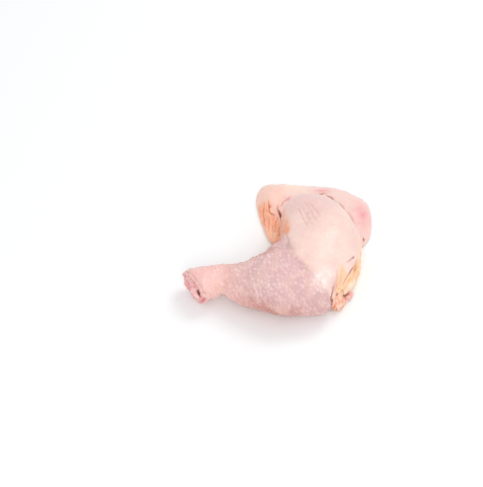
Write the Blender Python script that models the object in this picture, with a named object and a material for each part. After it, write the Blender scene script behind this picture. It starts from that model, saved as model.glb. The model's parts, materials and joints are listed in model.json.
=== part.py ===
"""A raw chicken leg quarter, lying skin side up as it would on a table.

The leg lies bent at the knee: the drumstick runs to -X and ends in the cut hock, the thigh
runs to +Y, and the loose skin and back meat round the hip spread out flat behind it.
Lengths are in millimetres, and MM turns them into Blender's metres. Plan points are (x, y).
"""

import math

import bmesh
import bpy
import numpy as np
from mathutils import Vector

MM = 0.001
UP = Vector((0, 0, 1))

# Fusing and fineness
LEG_VOXEL = 1.5
LEG_SMOOTHING = 8
SMALL_VOXEL = 0.85
SMALL_SMOOTHING = 3
LEG_TRIANGLES = 7200
FAT_TRIANGLES = 600
SCRAP_TRIANGLES = 260
BONE_TRIANGLES = 420
RING_SIDES = 40
LIMB_STEPS = 3
RIM_STEPS = 8
CREASE_STEPS = 4
GAP = 0.45

# Drumstick: centre x, y, z, half width across the table, half height
DRUMSTICK = (
    (-84.6, -48.3, 14.7, 17.9, 14.7),
    (-75.4, -45.1, 15.1, 18.4, 15.1),
    (-68.5, -42.6, 15.5, 17.1, 14.7),
    (-57.5, -39.0, 16.6, 14.4, 13.1),
    (-46.5, -35.1, 17.8, 11.8, 11.8),
    (-31.7, -39.5, 19.3, 16.5, 16.2),
    (-15.2, -41.6, 22.1, 23.7, 22.8),
    (1.4, -42.1, 22.6, 31.6, 24.3),
    (17.9, -44.2, 21.0, 30.7, 22.3),
    (31.3, -47.6, 20.0, 25.4, 20.6),
    (39.6, -49.6, 18.8, 20.4, 18.0),
    (45.4, -50.4, 17.4, 9.5, 9.0),
)

# Thigh: the same five measures, from the hip to the knee
THIGH = (
    (28.5, 51.5, 17.5, 7.4, 5.5),
    (28.5, 47.4, 18.4, 16.6, 12.0),
    (28.1, 36.8, 20.7, 23.9, 18.9),
    (29.9, 23.9, 23.0, 28.1, 22.5),
    (32.7, 9.2, 24.4, 31.3, 24.8),
    (35.4, -7.4, 24.7, 33.6, 26.9),
    (32.7, -20.2, 24.7, 33.1, 26.9),
    (29.0, -35.0, 23.7, 29.4, 25.5),
    (26.2, -48.8, 21.2, 22.1, 22.1),
    (28.1, -60.7, 16.6, 13.8, 14.7),
    (29.0, -67.6, 14.7, 3.7, 4.6),
)

# Skin that spans the bend between drumstick and thigh: centre, half sizes
BEND_SKIN = ((7.0, -17.0, 23.5), (18.0, 14.0, 14.5))

# Loose skin round the hip: its rim on the table, and how it swells inside the rim
FLAP_RIM = (
    (-5.5, 15.6),
    (-11.5, 30.4),
    (-16.1, 46.5),
    (-18.4, 60.7),
    (-17.0, 74.1),
    (-9.2, 81.7),
    (7.4, 82.8),
    (27.6, 81.0),
    (49.7, 79.1),
    (66.0, 71.3),
    (78.8, 61.2),
    (81.4, 47.8),
    (81.0, 31.3),
    (78.2, 19.3),
    (69.9, 10.1),
    (53.4, 0.0),
    (18.4, -3.7),
)
FLAP_CENTRE = (31.3, 35.0)
FLAP_EDGE = 3.1
FLAP_ROLL = 15.6
FLAP_SWELL = 8.3
FLAP_SHARES = (0.992, 0.97, 0.94, 0.9, 0.85, 0.79, 0.7, 0.55, 0.3, 0.05)
FLAP_UNDERSIDE = ((0.05, -3.0), (0.6, -3.0), (0.97, -3.0), (1.0, 0.6))
# Where it swells more: x, y, spread, height
FLAP_PILLOWS = (
    (1.8, 57.0, 15.6, 6.4),
    (68.1, 40.5, 14.7, 4.1),
    (36.8, 68.1, 13.8, 1.4),
)

# Creases pressed into the skin: plan route, half width, depth
CREASES = (
    (((4.6, -7.4), (8.3, -23.0), (12.0, -35.0)), 2.4, 1.5),
    (((1.8, 47.8), (-1.4, 40.5), (-1.8, 31.3), (0.5, 22.1), (2.3, 12.9)), 2.2, 3.1),
    (((20.2, 53.4), (31.3, 54.7), (42.3, 51.5), (51.5, 42.3), (57.5, 31.3)), 2.2, 2.2),
    (((-12.9, 53.4), (-12.0, 44.2), (-8.7, 33.1)), 1.7, 1.7),
    (((-6.4, 52.4), (-5.1, 43.2), (-3.7, 35.0)), 1.7, 2.2),
    (((-8.7, 38.6), (-6.4, 27.6), (-3.7, 18.4)), 1.7, 1.7),
    (((-15.6, 60.7), (-15.2, 53.4), (-14.7, 46.0)), 1.7, 1.1),
)

# Hock: where the foot was cut off, and the shallow pocket inside the skin's edge
HOCK_CENTRE = (-69.5, -42.9, 15.3)
HOCK_NORMAL = (-0.79, -0.61, -0.06)
SKIN_EDGE = 2.0
POCKET_DEPTH = 2.8

# Shin bone, from its rounded end in the hock to the knee, in the drumstick's measures
SHIN_BONE = (
    (-70.8, -47.8, 12.0, 2.2, 2.2),
    (-69.7, -46.9, 12.1, 5.3, 4.6),
    (-65.8, -44.3, 13.2, 6.3, 5.3),
    (-59.8, -41.4, 14.9, 5.0, 4.4),
    (-46.0, -36.2, 17.9, 4.0, 4.0),
    (-18.4, -39.1, 20.7, 4.0, 4.0),
    (12.9, -41.9, 22.1, 4.2, 4.2),
    (16.6, -42.1, 22.1, 2.2, 2.2),
)

# Yellow fat that shows below the thigh's cut skin, in the same measures
FAT_FOLD = (
    (61.6, 2.8, 6.4, 1.8, 2.8),
    (63.5, -3.7, 8.3, 4.6, 7.8),
    (63.7, -11.0, 9.7, 5.7, 10.1),
    (62.0, -20.2, 10.1, 6.1, 10.6),
    (58.5, -29.4, 9.7, 6.1, 10.1),
    (54.3, -37.7, 8.7, 5.5, 8.7),
    (52.0, -42.8, 7.4, 1.8, 2.8),
)

# Lumps: centre, half sizes
FAT_TAG = (
    ((46.8, -47.2, 11.0), (5.5, 6.6, 9.6)),
    ((47.4, -52.0, 4.4), (5.3, 4.6, 6.0)),
    ((50.6, -48.4, 4.6), (3.7, 4.2, 5.6)),
    ((46.6, -42.4, 18.8), (4.4, 6.6, 7.4)),
)
MEAT_SCRAP = (
    ((56.7, -41.0, 4.2), (4.0, 3.1, 5.0)),
    ((55.6, -44.5, 2.2), (2.8, 2.9, 2.9)),
)

# Colour and roughness of each piece
FINISHES = {
    "leg_quarter": ((0.86, 0.66, 0.60), 0.42),
    "shin_bone": ((0.80, 0.58, 0.56), 0.35),
    "fat_fold": ((0.92, 0.70, 0.42), 0.40),
    "fat_tag": ((0.90, 0.60, 0.47), 0.42),
    "meat_scrap": ((0.72, 0.30, 0.28), 0.38),
}


def smooth_between(keys, steps, closed=False):
    """Points along a Catmull-Rom curve through the keys, with so many steps between two keys."""
    keys = np.array(keys, float)
    count = len(keys)
    found = []
    for span in range(count if closed else count - 1):
        start, end = keys[span], keys[(span + 1) % count]
        before = keys[span - 1] if closed or span else 2 * start - end
        after = keys[(span + 2) % count] if closed or span + 2 < count else 2 * end - start
        for step in range(steps):
            t = step / steps
            straight = 2 * start + (end - before) * t
            bend = (2 * before - 5 * start + 4 * end - after) * t**2
            twist = (3 * start - before - 3 * end + after) * t**3
            found.append((straight + bend + twist) / 2)
    if not closed:
        found.append(keys[-1])
    return found


def to_object(name, bm):
    """The bmesh as an object of the scene."""
    mesh = bpy.data.meshes.new(name)
    bm.to_mesh(mesh)
    bm.free()
    made = bpy.data.objects.new(name, mesh)
    bpy.context.scene.collection.objects.link(made)
    return made


def put(verts, points):
    """Moves verts to points given in millimetres."""
    for vert, point in zip(verts, points):
        vert.co = Vector(point) * MM


def loft(name, rings):
    """A closed body through rings of points, each ring pulled out of the one before."""
    bm = bmesh.new()
    ring = bmesh.ops.create_circle(bm, segments=len(rings[0]), radius=1.0, cap_ends=True)["verts"]
    put(ring, rings[0])
    edges = list(bm.edges)
    for points in rings[1:]:
        pulled = bmesh.ops.extrude_edge_only(bm, edges=edges)["geom"]
        fresh = {item for item in pulled if isinstance(item, bmesh.types.BMVert)}
        edges = [item for item in pulled if isinstance(item, bmesh.types.BMEdge)]
        ring = [next(e.other_vert(v) for e in v.link_edges if e.other_vert(v) in fresh) for v in ring]
        put(ring, points)
    bm.faces.new(ring)
    bmesh.ops.recalc_face_normals(bm, faces=bm.faces)
    return to_object(name, bm)


def limb(name, stations, thinner=0.0):
    """A loft of ellipses along a limb, each square to the way the limb runs in plan."""
    line = smooth_between(stations, LIMB_STEPS)
    rings = []
    for index, (x, y, z, half_width, half_height) in enumerate(line):
        ahead, behind = line[min(index + 1, len(line) - 1)], line[max(index - 1, 0)]
        across = Vector((behind[1] - ahead[1], ahead[0] - behind[0], 0)).normalized()
        ring = []
        for side in range(RING_SIDES):
            turn = 2 * math.pi * side / RING_SIDES
            sideways = across * (half_width - thinner) * math.cos(turn)
            ring.append(Vector((x, y, z)) + sideways + UP * (half_height - thinner) * math.sin(turn))
        rings.append(ring)
    return loft(name, rings)


def lump(name, centre, half_sizes):
    """An egg of the given half sizes."""
    bm = bmesh.new()
    bmesh.ops.create_icosphere(bm, subdivisions=4, radius=1.0)
    bmesh.ops.scale(bm, verts=bm.verts, vec=Vector(half_sizes) * MM)
    bmesh.ops.translate(bm, verts=bm.verts, vec=Vector(centre) * MM)
    return to_object(name, bm)


def flap_height(x, y):
    """How high the loose skin lies well inside its rim."""
    swell = FLAP_SWELL
    for pillow_x, pillow_y, spread, height in FLAP_PILLOWS:
        apart = (x - pillow_x) ** 2 + (y - pillow_y) ** 2
        swell += height * math.exp(-apart / (2 * spread**2))
    return swell


def flap():
    """The loose skin and back meat, a soft pillow that thins to its rim."""
    rim = smooth_between(FLAP_RIM, RIM_STEPS, closed=True)
    centre = np.array(FLAP_CENTRE)

    def level(share, z):
        return [(*(centre + (point - centre) * share), z) for point in rim]

    def top(share):
        ring = []
        for point in rim:
            x, y = centre + (point - centre) * share
            inside = np.linalg.norm(point - centre) * (1 - share)
            rise = math.sin(min(inside / FLAP_ROLL, 1.0) * math.pi / 2)
            ring.append((x, y, FLAP_EDGE + (flap_height(x, y) - FLAP_EDGE) * rise))
        return ring

    rings = [level(*place) for place in FLAP_UNDERSIDE]
    return loft("flap", rings + [top(share) for share in FLAP_SHARES])


def applied(obj):
    """The object with its modifiers made part of its mesh."""
    shown = obj.evaluated_get(bpy.context.evaluated_depsgraph_get())
    mesh = bpy.data.meshes.new_from_object(shown)
    obj.modifiers.clear()
    obj.data = mesh
    return obj


def fuse(name, pieces, voxel, smoothing):
    """One skin round all the pieces, evened out so that they flow into each other."""
    bm = bmesh.new()
    for piece in pieces:
        bm.from_mesh(piece.data)
        bpy.data.objects.remove(piece)
    fused = to_object(name, bm)
    skin = fused.modifiers.new("Skin", "REMESH")
    skin.mode = "VOXEL"
    skin.voxel_size = voxel * MM
    even = fused.modifiers.new("Even", "SMOOTH")
    even.factor = 0.5
    even.iterations = smoothing
    return applied(fused)


def nearest_on(route, points):
    """Each point's plan distance to the route, and how far along the route it is, from 0 to 1."""
    best = np.full(len(points), np.inf)
    along = np.zeros(len(points))
    steps = len(route) - 1
    for index in range(steps):
        start, run = route[index], route[index + 1] - route[index]
        share = np.clip((points - start) @ run / (run @ run), 0, 1)
        apart = np.linalg.norm(points - start - share[:, None] * run, axis=1)
        closer = apart < best
        best[closer] = apart[closer]
        along[closer] = (index + share[closer]) / steps
    return best, along


def press_creases(obj):
    """Presses the creases into the upper side of the skin."""
    mesh = obj.data
    points = np.empty(len(mesh.vertices) * 3)
    mesh.vertices.foreach_get("co", points)
    points = points.reshape(-1, 3) / MM
    normals = np.array([vertex.normal for vertex in mesh.vertices])
    facing = np.clip(normals[:, 2] + 0.4, 0, 1)
    for route, half_width, depth in CREASES:
        apart, along = nearest_on(np.array(smooth_between(route, CREASE_STEPS)), points[:, :2])
        fade = np.sqrt(np.sin(np.pi * np.clip(along, 0.04, 0.96)))
        dip = depth * np.exp(-((apart / half_width) ** 2)) * fade * facing
        points = points - normals * dip[:, None]
    mesh.vertices.foreach_set("co", (points * MM).ravel())
    mesh.update()


def cut_flat(obj, point, normal):
    """Cuts off what lies beyond a plane, and closes the cut with a flat face."""
    bm = bmesh.new()
    bm.from_mesh(obj.data)
    bmesh.ops.bisect_plane(
        bm,
        geom=bm.verts[:] + bm.edges[:] + bm.faces[:],
        plane_co=Vector(point) * MM,
        plane_no=Vector(normal).normalized(),
        clear_outer=True,
    )
    bmesh.ops.holes_fill(bm, edges=[edge for edge in bm.edges if edge.is_boundary])
    bmesh.ops.triangulate(bm, faces=bm.faces)
    bmesh.ops.recalc_face_normals(bm, faces=bm.faces)
    bm.to_mesh(obj.data)
    bm.free()
    return obj


def thin_out(obj, triangles):
    """The body in so many triangles, kept where it curves."""
    bm = bmesh.new()
    bm.from_mesh(obj.data)
    bmesh.ops.triangulate(bm, faces=bm.faces)
    bm.to_mesh(obj.data)
    bm.free()
    fewer = obj.modifiers.new("Fewer", "DECIMATE")
    fewer.ratio = min(1.0, triangles / len(obj.data.polygons))
    return applied(obj)


def swollen(obj, by):
    """A cutter: a copy of the body, grown all round."""
    bm = bmesh.new()
    bm.from_mesh(obj.data)
    bm.normal_update()
    grown = [vert.co + vert.normal * by * MM for vert in bm.verts]
    for vert, point in zip(bm.verts, grown):
        vert.co = point
    return to_object(f"{obj.name}_cutter", bm)


def cut_by(obj, cutter):
    """Takes the cutter's space out of the body, and the cutter out of the scene."""
    cut = obj.modifiers.new("Cut", "BOOLEAN")
    cut.operation = "DIFFERENCE"
    cut.solver = "EXACT"
    cut.object = cutter
    applied(obj)
    bpy.data.objects.remove(cutter)
    keep_largest(obj)


def keep_largest(obj):
    """Drops loose scraps that a cut left behind."""
    bm = bmesh.new()
    bm.from_mesh(obj.data)
    left = set(bm.verts)
    bodies = []
    while left:
        body, front = set(), [left.pop()]
        while front:
            vert = front.pop()
            body.add(vert)
            for edge in vert.link_edges:
                other = edge.other_vert(vert)
                if other in left:
                    left.remove(other)
                    front.append(other)
        bodies.append(body)
    largest = max(bodies, key=len)
    bmesh.ops.delete(bm, geom=[vert for vert in bm.verts if vert not in largest], context="VERTS")
    bm.to_mesh(obj.data)
    bm.free()


def leg_quarter():
    """Drumstick, thigh and loose skin in one body, flat where it lies."""
    drumstick = cut_flat(limb("drumstick", DRUMSTICK), HOCK_CENTRE, HOCK_NORMAL)
    limbs = [drumstick, limb("thigh", THIGH), lump("bend_skin", *BEND_SKIN)]
    leg = fuse("leg_quarter", [*limbs, flap()], LEG_VOXEL, LEG_SMOOTHING)
    press_creases(leg)
    return on_table(leg, LEG_TRIANGLES)


def hock_pocket():
    """Cutter for the shallow pocket that leaves the skin's edge standing round the cut."""
    floor = Vector(HOCK_CENTRE) - Vector(HOCK_NORMAL).normalized() * POCKET_DEPTH
    return cut_flat(limb("pocket", DRUMSTICK, SKIN_EDGE), floor, -Vector(HOCK_NORMAL))


def on_table(obj, triangles):
    """The body cut flat where it lies on the table, in so many triangles."""
    return thin_out(cut_flat(obj, (0, 0, 0), -UP), triangles)


def lumps(name, eggs, triangles):
    """A few eggs fused into one lump that rests on the table."""
    pieces = [lump(f"{name}_{index}", *egg) for index, egg in enumerate(eggs)]
    return on_table(fuse(name, pieces, SMALL_VOXEL, SMALL_SMOOTHING), triangles)


def paint(obj, colour, roughness):
    """One plain material for the body."""
    finish = bpy.data.materials.new(obj.name)
    finish.use_nodes = True
    shader = finish.node_tree.nodes["Principled BSDF"]
    shader.inputs["Base Color"].default_value = (*colour, 1.0)
    shader.inputs["Roughness"].default_value = roughness
    shader.inputs["Metallic"].default_value = 0.0
    obj.data.materials.clear()
    obj.data.materials.append(finish)


def stand_at_origin(pieces):
    """Moves everything so that the middle of the whole object's footprint is the origin."""
    corners = np.array([vertex.co for piece in pieces for vertex in piece.data.vertices])
    low, high = corners.min(0), corners.max(0)
    shift = Vector((-(low[0] + high[0]) / 2, -(low[1] + high[1]) / 2, -low[2]))
    for piece in pieces:
        for vertex in piece.data.vertices:
            vertex.co += shift


def main():
    for old in list(bpy.data.objects):
        bpy.data.objects.remove(old)

    leg = leg_quarter()
    bone = fuse("shin_bone", [limb("shaft", SHIN_BONE)], SMALL_VOXEL, SMALL_SMOOTHING)
    bone = thin_out(bone, BONE_TRIANGLES)
    tag = lumps("fat_tag", FAT_TAG, FAT_TRIANGLES)
    fold = fuse("fat_fold", [limb("fold", FAT_FOLD)], SMALL_VOXEL, SMALL_SMOOTHING)
    fold = on_table(fold, FAT_TRIANGLES)
    scrap = lumps("meat_scrap", MEAT_SCRAP, SCRAP_TRIANGLES)

    cut_by(leg, hock_pocket())
    cut_by(leg, swollen(bone, GAP))
    for piece, cutters in ((fold, (tag,)), (scrap, (tag, fold)), (leg, (tag, fold, scrap))):
        for cutter in cutters:
            cut_by(piece, swollen(cutter, GAP))

    pieces = [leg, bone, fold, tag, scrap]
    for piece in pieces:
        paint(piece, *FINISHES[piece.name])
    stand_at_origin(pieces)


main()
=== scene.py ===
"""The looks of a raw chicken leg quarter that lies skin side up on a pale table.

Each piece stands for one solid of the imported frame: a finer mesh of the same form, with the
pebbles, folds and creases of the skin modelled in, and a moist, slightly translucent finish.
Lengths are in millimetres, and MM turns them into Blender's metres. +X runs from the cut hock
to the knee, +Y towards the hip, and plan points are (x, y) on the table.
"""

import json
import logging
import math
from dataclasses import dataclass
from enum import Enum, IntEnum
from typing import Any

import bmesh
import bpy
import numpy as np
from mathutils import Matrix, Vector, kdtree, noise

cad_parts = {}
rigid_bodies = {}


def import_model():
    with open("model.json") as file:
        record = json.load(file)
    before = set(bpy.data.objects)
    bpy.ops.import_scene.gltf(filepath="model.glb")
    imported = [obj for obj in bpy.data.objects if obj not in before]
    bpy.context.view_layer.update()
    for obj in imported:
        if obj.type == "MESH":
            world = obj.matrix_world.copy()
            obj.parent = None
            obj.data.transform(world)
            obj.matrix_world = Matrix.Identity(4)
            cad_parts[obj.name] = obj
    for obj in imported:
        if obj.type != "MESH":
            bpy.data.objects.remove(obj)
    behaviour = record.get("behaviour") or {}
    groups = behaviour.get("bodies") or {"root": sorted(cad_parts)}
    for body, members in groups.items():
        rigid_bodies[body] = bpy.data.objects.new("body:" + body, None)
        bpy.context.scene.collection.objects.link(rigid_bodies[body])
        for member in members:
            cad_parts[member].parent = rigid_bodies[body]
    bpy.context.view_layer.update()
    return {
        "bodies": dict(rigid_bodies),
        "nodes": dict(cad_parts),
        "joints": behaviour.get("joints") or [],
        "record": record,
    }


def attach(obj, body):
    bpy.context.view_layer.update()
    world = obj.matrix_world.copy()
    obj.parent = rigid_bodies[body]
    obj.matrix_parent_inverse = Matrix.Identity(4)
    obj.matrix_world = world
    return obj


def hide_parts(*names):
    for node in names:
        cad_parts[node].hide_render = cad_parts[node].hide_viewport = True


MM = 0.001
ROOT = "root"
log = logging.getLogger("leg_quarter")

# Limits that several classes share: the reaches are those that Hock.measure gives
RELAX_SHARE = 0.5
UNDERSIDE = 0.03
RIM_INSIDE = 0.97
HOCK_REACH = 1.6

Point2 = tuple[float, float]
Point3 = tuple[float, float, float]
Colour = tuple[float, float, float, float]


def srgb(red: int, green: int, blue: int) -> Colour:
    """Turns a colour as seen on a screen into the linear one that a shader takes.

    Args:
        red: How much red, from 0 to 255.
        green: How much green.
        blue: How much blue.

    Returns:
        The linear colour, fully opaque.
    """
    shares = np.array((red, green, blue)) / 255
    linear = [c / 12.92 if c <= 0.04045 else ((c + 0.055) / 1.055) ** 2.4 for c in shares]
    return (*map(float, linear), 1.0)


class Tint(Enum):
    """The colours of the leg, each named for where it shows."""

    PEACH = srgb(239, 206, 197)
    PEACH_LIGHT = srgb(247, 219, 207)
    THIGH_TOP = srgb(233, 196, 191)
    # Pale pebbles are the skin's own tone; the darker valleys between them are partly painted shade.
    VALLEY = srgb(214, 175, 175)
    PEBBLE = srgb(238, 206, 202)
    DRUM_WARM = srgb(238, 200, 189)
    # Painted shade: the drumstick darker towards its bottom and on its side that faces away.
    VALLEY_LOW_SHADE = srgb(198, 138, 130)
    PEBBLE_IN_SHADE = srgb(217, 165, 155)
    VALLEY_FAR_SIDE_SHADE = srgb(202, 144, 138)
    ANKLE = srgb(240, 190, 183)
    ANKLE_LIGHT = srgb(247, 207, 200)
    FLAP_PINK = srgb(244, 212, 204)
    FLAP_PEACH = srgb(250, 203, 182)
    FLAP_CREAM = srgb(252, 224, 204)
    ORANGE = srgb(252, 186, 152)
    ORANGE_DEEP = srgb(248, 166, 130)
    ORANGE_WALL = srgb(240, 160, 124)
    # Painted light: paler orange that lifts the shaded low tip of the orange skin.
    ORANGE_PAINTED_LIGHT = srgb(255, 208, 176)
    YELLOW = srgb(255, 207, 158)
    AMBER = srgb(236, 150, 78)
    MUSCLE = srgb(238, 162, 164)
    # Painted highlight: the whitish wet shine near the knee.
    PAINTED_HIGHLIGHT = srgb(255, 237, 230)
    # Painted shade in creases, wrinkles and pleats; the deepest one also paints dark marks.
    CREASE = srgb(190, 116, 110)
    CREASE_SHADE_ORANGE = srgb(224, 130, 92)
    # Deepest painted shade in creases, and the dark marks.
    DEEP_SHADE_AND_MARKS = srgb(122, 58, 46)
    RAW = srgb(250, 190, 192)
    RAW_DARK = srgb(230, 142, 150)
    # Cut muscle's deeper tone in random patches, and its painted shade in hollows and on its shaded left
    # side.
    RAW_MAUVE = srgb(222, 150, 151)
    LIP = srgb(240, 204, 198)
    # Painted shade in the hock's slit, and dark marks on the fat flap.
    SLIT_SHADE_AND_MARKS = srgb(70, 14, 20)
    # Mauve specks, painted shade between bumps, and painted shade on the hock's shaded edge.
    SPECK_AND_SHADE = srgb(222, 174, 178)
    KNOB = srgb(244, 170, 176)
    KNOB_LIGHT = srgb(250, 204, 200)
    FAT = srgb(255, 219, 174)
    FAT_DEEP = srgb(250, 180, 128)
    FAT_PALE = srgb(255, 232, 208)
    TAG = srgb(254, 220, 200)
    TAG_DEEP = srgb(242, 174, 146)
    SCRAP = srgb(250, 212, 201)
    SCRAP_DARK = srgb(228, 156, 145)
    SCRAP_RED = srgb(222, 100, 96)


class Pattern(IntEnum):
    """The random patterns, each a different place in the same noise."""

    SOFT_FLESH = 1
    FINE_FLESH = 2
    ZONE_EDGES = 3
    CUT_EDGE = 4
    CUT_NOTCHES = 5
    LOBES = 6
    SMALL_LOBES = 7
    FIBRES = 8
    SKIN_STRINGS = 9
    FOLD_ROUTES = 12
    THIN_WRINKLES = 14
    HANGING_LINES = 17
    PEBBLE_EDGES = 20


# Geometry on arrays of points


def smooth_step(value: np.ndarray) -> np.ndarray:
    """Eases 0 to 1, flat at both ends."""
    value = np.clip(value, 0.0, 1.0)
    return value * value * (3 - 2 * value)


def nearest_on(route: np.ndarray, points: np.ndarray) -> tuple[np.ndarray, np.ndarray, np.ndarray]:
    """Measures every point against a route of straight runs.

    Args:
        route: The route's corners.
        points: The points, with as many coordinates as the corners.

    Returns:
        Each point's distance to the route, how far along it is from 0 to 1, and its distance
        with a sign that is positive to the left of the route in plan.
    """
    best = np.full(len(points), np.inf)
    along = np.zeros(len(points))
    side = np.ones(len(points))
    steps = len(route) - 1
    for index in range(steps):
        start, run = route[index], route[index + 1] - route[index]
        share = np.clip((points - start) @ run / (run @ run), 0, 1)
        apart = np.linalg.norm(points - start - share[:, None] * run, axis=1)
        closer = apart < best
        best[closer] = apart[closer]
        along[closer] = (index + share[closer]) / steps
        turn = run[0] * (points[:, 1] - start[1]) - run[1] * (points[:, 0] - start[0])
        side[closer] = np.sign(turn[closer])
    return best, along, best * side


def curve_through(keys: tuple[tuple[float, ...], ...], steps: int = 5) -> np.ndarray:
    """Points along a Catmull-Rom curve through the keys.

    Args:
        keys: The points that the curve passes.
        steps: How many runs to make between two keys.

    Returns:
        The points, first and last key included.
    """
    points = np.array(keys, float)
    padded = np.vstack([2 * points[0] - points[1], points, 2 * points[-1] - points[-2]])
    found = []
    for before, start, end, after in zip(padded, padded[1:], padded[2:], padded[3:]):
        for t in np.arange(steps) / steps:
            bend = (2 * before - 5 * start + 4 * end - after) * t**2
            twist = (3 * start - before - 3 * end + after) * t**3
            found.append((2 * start + (end - before) * t + bend + twist) / 2)
    return np.array([*found, points[-1]])


def ripple(points: np.ndarray, wavelength: float, seed: int) -> np.ndarray:
    """Smooth noise from about -1 to 1 at every point, with so many millimetres from crest to crest."""
    shift = Vector((seed * 7.3, seed * 3.1, seed * 5.7))
    return np.array([noise.noise(Vector(point) + shift) for point in points / wavelength])


def streaks(points: np.ndarray, way: Point3, wavelength: float, stretch: float, seed: int) -> np.ndarray:
    """Thin broken lines that run one way, as in stretched skin.

    Args:
        points: The points of the surface.
        way: The direction that the lines run in.
        wavelength: The distance between two lines.
        stretch: How many times longer they are.
        seed: The random pattern.

    Returns:
        0 between the lines and 1 along them.
    """
    unit = np.array(way) / np.linalg.norm(way)
    drawn = points - (1 - 1 / stretch) * (points @ unit)[:, None] * unit
    lines = np.clip(1 - np.abs(ripple(drawn, wavelength, seed)) * 2.2, 0, 1) ** 2.5
    return lines * smooth_step(ripple(points, wavelength * 2.5, seed + 1) * 1.4 + 0.6)


@dataclass(frozen=True)
class Zone:
    """A patch of the plan, such as the pebbled skin of the drumstick.

    Attributes:
        outline: Its corners in plan.
        soft: How wide its edge fades.
    """

    outline: tuple[Point2, ...]
    soft: float

    def mask(self, points: np.ndarray) -> np.ndarray:
        """Tells the patch from the rest of the plan.

        Args:
            points: The points of the surface.

        Returns:
            1 inside the patch and 0 outside it, with the edge between them soft.
        """
        corners = np.array(self.outline)
        nearest = np.full(len(points), np.inf)
        inside = np.zeros(len(points), bool)
        x, y = points[:, 0], points[:, 1]
        for start, end in zip(corners, np.roll(corners, -1, axis=0)):
            run = end - start
            share = np.clip((points[:, :2] - start) @ run / (run @ run), 0, 1)
            apart = np.linalg.norm(points[:, :2] - start - share[:, None] * run, axis=1)
            nearest = np.minimum(nearest, apart)
            spans = (start[1] > y) != (end[1] > y)
            rise = run[1] if run[1] else 1e-9
            inside ^= spans & (x < start[0] + (y - start[1]) * run[0] / rise)
        return smooth_step(np.where(inside, nearest, -nearest) / self.soft / 2 + 0.5)


@dataclass(frozen=True)
class Spot:
    """A soft egg-shaped patch in space.

    Attributes:
        centre: Its middle.
        reach: How far it fades along each axis.
    """

    centre: Point3
    reach: Point3

    def mask(self, points: np.ndarray) -> np.ndarray:
        """1 at the centre, fading all round."""
        apart = (points - np.array(self.centre)) / np.array(self.reach)
        return np.exp(-(apart**2).sum(axis=1))


class FoldKind(Enum):
    """The forms that a fold of skin takes across its route."""

    CREASE = "narrow valley between rolled lips"
    WRINKLE = "soft valley"
    RIDGE = "soft ridge"
    STEP = "edge of an upper layer of skin that lies to the left of the route"


@dataclass(frozen=True)
class Fold:
    """A crease, wrinkle, ridge or step in the skin.

    Attributes:
        route: The points that it passes.
        width: Half its width.
        depth: How deep or high it is.
        kind: Its form.
        shade: How much painted shade darkens its bottom, from 0 to 1.
        flatness: How much a difference in height counts against one in plan.
    """

    route: tuple[Point3, ...]
    width: float
    depth: float
    kind: FoldKind
    shade: float = 0.0
    flatness: float = 0.35

    def profile(self, apart: np.ndarray, signed: np.ndarray) -> np.ndarray:
        """Shapes the fold across its route.

        Args:
            apart: Each point's distance to the route.
            signed: The same, positive to the left of it.

        Returns:
            The fold's height at each point.
        """
        across = apart / self.width
        if self.kind is FoldKind.CREASE:
            lips = 0.4 * np.exp(-((across - 2.1) ** 2))
            return self.depth * (lips - np.exp(-(across**1.3)))
        if self.kind is FoldKind.WRINKLE:
            return -self.depth * np.exp(-(across**2))
        if self.kind is FoldKind.RIDGE:
            return self.depth * np.exp(-(across**2))
        above = smooth_step(signed / self.width) * np.exp(-np.maximum(signed, 0) / self.width / 7)
        foot = 0.5 * np.exp(-((signed / self.width + 0.3) ** 2) * 2)
        return self.depth * (above - foot)

    def measure(self, points: np.ndarray) -> tuple[np.ndarray, np.ndarray]:
        """Works out the fold at every point.

        Args:
            points: The points of the surface.

        Returns:
            The height to add at each point, and how much painted shade the fold lays there.
        """
        squash = np.array((1.0, 1.0, self.flatness))
        apart, along, signed = nearest_on(curve_through(self.route) * squash, points * squash)
        fade = np.sqrt(np.sin(np.pi * np.clip(along, 0.02, 0.98)))
        # Painted shade along the fold's bottom.
        dark = self.shade * fade * np.exp(-((apart / self.width / 0.9) ** 2))
        return self.profile(apart, signed) * fade, dark


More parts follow.
